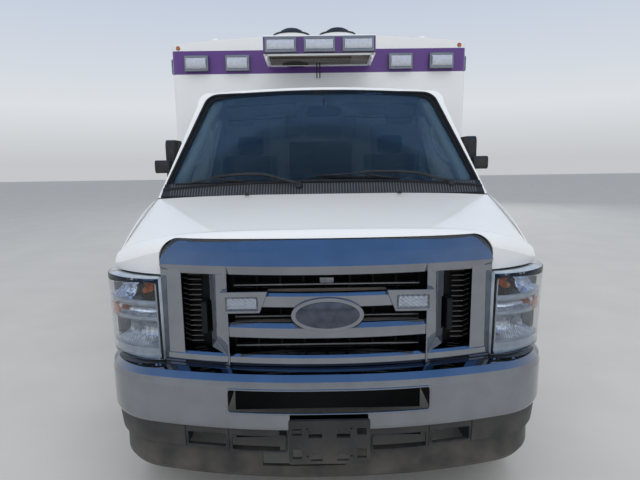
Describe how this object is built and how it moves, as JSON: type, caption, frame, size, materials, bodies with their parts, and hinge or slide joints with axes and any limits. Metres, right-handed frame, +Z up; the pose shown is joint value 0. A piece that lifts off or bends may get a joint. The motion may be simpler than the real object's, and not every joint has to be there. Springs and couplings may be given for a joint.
{
  "type": "box-bodied ambulance",
  "caption": "Cab with chromed grille and bumper, box body with outside lockers, side and rear doors, twin rear wheels and steered front wheels.",
  "frame": {"origin": "on the ground, midway between the front and rear ends and on the centre plane", "axes": "+X to the driver's side, +Y to the rear, +Z up"},
  "size_m": [2.48, 6.94, 2.6159],
  "materials": {
    "white_paint": "gloss",
    "chrome": "polished",
    "black_plastic": "matt",
    "glass": "clear",
    "lamp": "clear",
    "tyre": "matt",
    "steel": "satin",
    "black_steel": "satin",
    "aluminium": "satin",
    "grey_trim": "matt",
    "seat_fabric": "woven",
    "vinyl": "smooth",
    "floor_vinyl": "matt",
    "cabinet": "satin"
  },
  "bodies": {
    "vehicle": {"frame": "black_steel", "bumper_brackets": "black_steel", "front_axle": "black_steel", "rear_axle": "black_steel", "engine": "black_steel", "drivetrain": "aluminium", "exhaust": "steel", "fuel_tank": "black_plastic", "cab_shell": "white_paint", "cab_floor": "grey_trim", "windscreen": "glass", "cowl": "black_plastic", "grille": "chrome", "radiator": "black_plastic", "front_bumper": "chrome", "air_dam": "black_plastic", "plate_bracket": "black_plastic", "headlamps": "lamp", "front_fenders": "white_paint", "wheelhouses": "black_plastic", "dashboard": "grey_trim", "seats": "seat_fabric", "module_floor": "floor_vinyl", "module_left_wall": "white_paint", "module_right_wall": "white_paint", "module_front_wall": "white_paint", "module_rear_wall": "white_paint", "module_roof": "white_paint", "lockers": "aluminium", "cabinets": "cabinet", "bench_cushions": "vinyl", "condenser": "white_paint", "body_lamps": "lamp", "steps": "aluminium"},
    "hood": {"hood": "white_paint"},
    "cab_door_left": {"cab_door_left": "white_paint", "cab_window_left": "glass", "mirror_left": "black_plastic"},
    "cab_door_right": {"cab_door_right": "white_paint", "cab_window_right": "glass", "mirror_right": "black_plastic"},
    "entry_door": {"entry_door": "white_paint"},
    "rear_door_left": {"rear_door_left": "white_paint"},
    "rear_door_right": {"rear_door_right": "white_paint"},
    "locker_door_front_left": {"locker_door_front_left": "white_paint"},
    "locker_door_middle_left": {"locker_door_middle_left": "white_paint"},
    "locker_door_rear_left": {"locker_door_rear_left": "white_paint"},
    "locker_door_rear_right": {"locker_door_rear_right": "white_paint"},
    "steering_wheel": {"steering_wheel": "black_plastic"},
    "knuckle_left": {"knuckle_left": "black_steel"},
    "knuckle_right": {"knuckle_right": "black_steel"},
    "front_wheel_left": {"front_tyre_left": "tyre", "front_rim_left": "steel"},
    "front_wheel_right": {"front_tyre_right": "tyre", "front_rim_right": "steel"},
    "rear_wheels_left": {"rear_tyres_left": "tyre", "rear_rims_left": "steel"},
    "rear_wheels_right": {"rear_tyres_right": "tyre", "rear_rims_right": "steel"}
  },
  "joints": [
    {"name": "steer_left", "type": "hinge", "parent": "vehicle", "child": "knuckle_left", "pos_m": [0.79, -2.63, 0.372], "axis": [0, 0, 1], "range_deg": [-33, 33]},
    {"name": "front_wheel_left_turn", "type": "hinge", "parent": "knuckle_left", "child": "front_wheel_left", "pos_m": [0.885, -2.63, 0.372], "axis": [1, 0, 0], "continuous": true},
    {"name": "rear_wheels_left_turn", "type": "hinge", "parent": "vehicle", "child": "rear_wheels_left", "pos_m": [0.96, 1.383, 0.372], "axis": [1, 0, 0], "continuous": true},
    {"name": "cab_door_left_open", "type": "hinge", "parent": "vehicle", "child": "cab_door_left", "pos_m": [1.003, -2.179, 1.2], "axis": [0, 0, -1], "range_deg": [0, 68]},
    {"name": "rear_door_left_open", "type": "hinge", "parent": "vehicle", "child": "rear_door_left", "pos_m": [0.62, 3.218, 1.5], "axis": [0, 0, -1], "range_deg": [0, 110]},
    {"name": "steer_right", "type": "hinge", "parent": "vehicle", "child": "knuckle_right", "pos_m": [-0.79, -2.63, 0.372], "axis": [0, 0, 1], "range_deg": [-33, 33]},
    {"name": "front_wheel_right_turn", "type": "hinge", "parent": "knuckle_right", "child": "front_wheel_right", "pos_m": [-0.885, -2.63, 0.372], "axis": [1, 0, 0], "continuous": true},
    {"name": "rear_wheels_right_turn", "type": "hinge", "parent": "vehicle", "child": "rear_wheels_right", "pos_m": [-0.96, 1.383, 0.372], "axis": [1, 0, 0], "continuous": true},
    {"name": "cab_door_right_open", "type": "hinge", "parent": "vehicle", "child": "cab_door_right", "pos_m": [-1.003, -2.179, 1.2], "axis": [0, 0, 1], "range_deg": [0, 68]},
    {"name": "rear_door_right_open", "type": "hinge", "parent": "vehicle", "child": "rear_door_right", "pos_m": [-0.62, 3.218, 1.5], "axis": [0, 0, 1], "range_deg": [0, 110]},
    {"name": "entry_door_open", "type": "hinge", "parent": "vehicle", "child": "entry_door", "pos_m": [-1.206, -0.844, 1.4], "axis": [0, 0, 1], "range_deg": [0, 95]},
    {"name": "locker_door_front_left_open", "type": "hinge", "parent": "vehicle", "child": "locker_door_front_left", "pos_m": [1.206, -0.964, 1.2], "axis": [0, 0, -1], "range_deg": [0, 95]},
    {"name": "locker_door_middle_left_open", "type": "hinge", "parent": "vehicle", "child": "locker_door_middle_left", "pos_m": [1.206, -0.214, 1.2], "axis": [0, 0, -1], "range_deg": [0, 95]},
    {"name": "locker_door_rear_left_open", "type": "hinge", "parent": "vehicle", "child": "locker_door_rear_left", "pos_m": [1.206, 1.936, 1.2], "axis": [0, 0, -1], "range_deg": [0, 95]},
    {"name": "locker_door_rear_right_open", "type": "hinge", "parent": "vehicle", "child": "locker_door_rear_right", "pos_m": [-1.206, 2.036, 1.2], "axis": [0, 0, 1], "range_deg": [0, 95]},
    {"name": "hood_open", "type": "hinge", "parent": "vehicle", "child": "hood", "pos_m": [0, -2.438, 1.45], "axis": [-1, 0, 0], "range_deg": [0, 55]},
    {"name": "steering_wheel_turn", "type": "hinge", "parent": "vehicle", "child": "steering_wheel", "pos_m": [0.54, -1.98, 1.345], "axis": [0, 0.848, 0.53], "range_deg": [-528, 528]}
  ],
  "couplings": [
    {"joint": "steer_right", "follows": "steer_left", "ratio": 1},
    {"joint": "steering_wheel_turn", "follows": "steer_left", "ratio": 16}
  ]
}
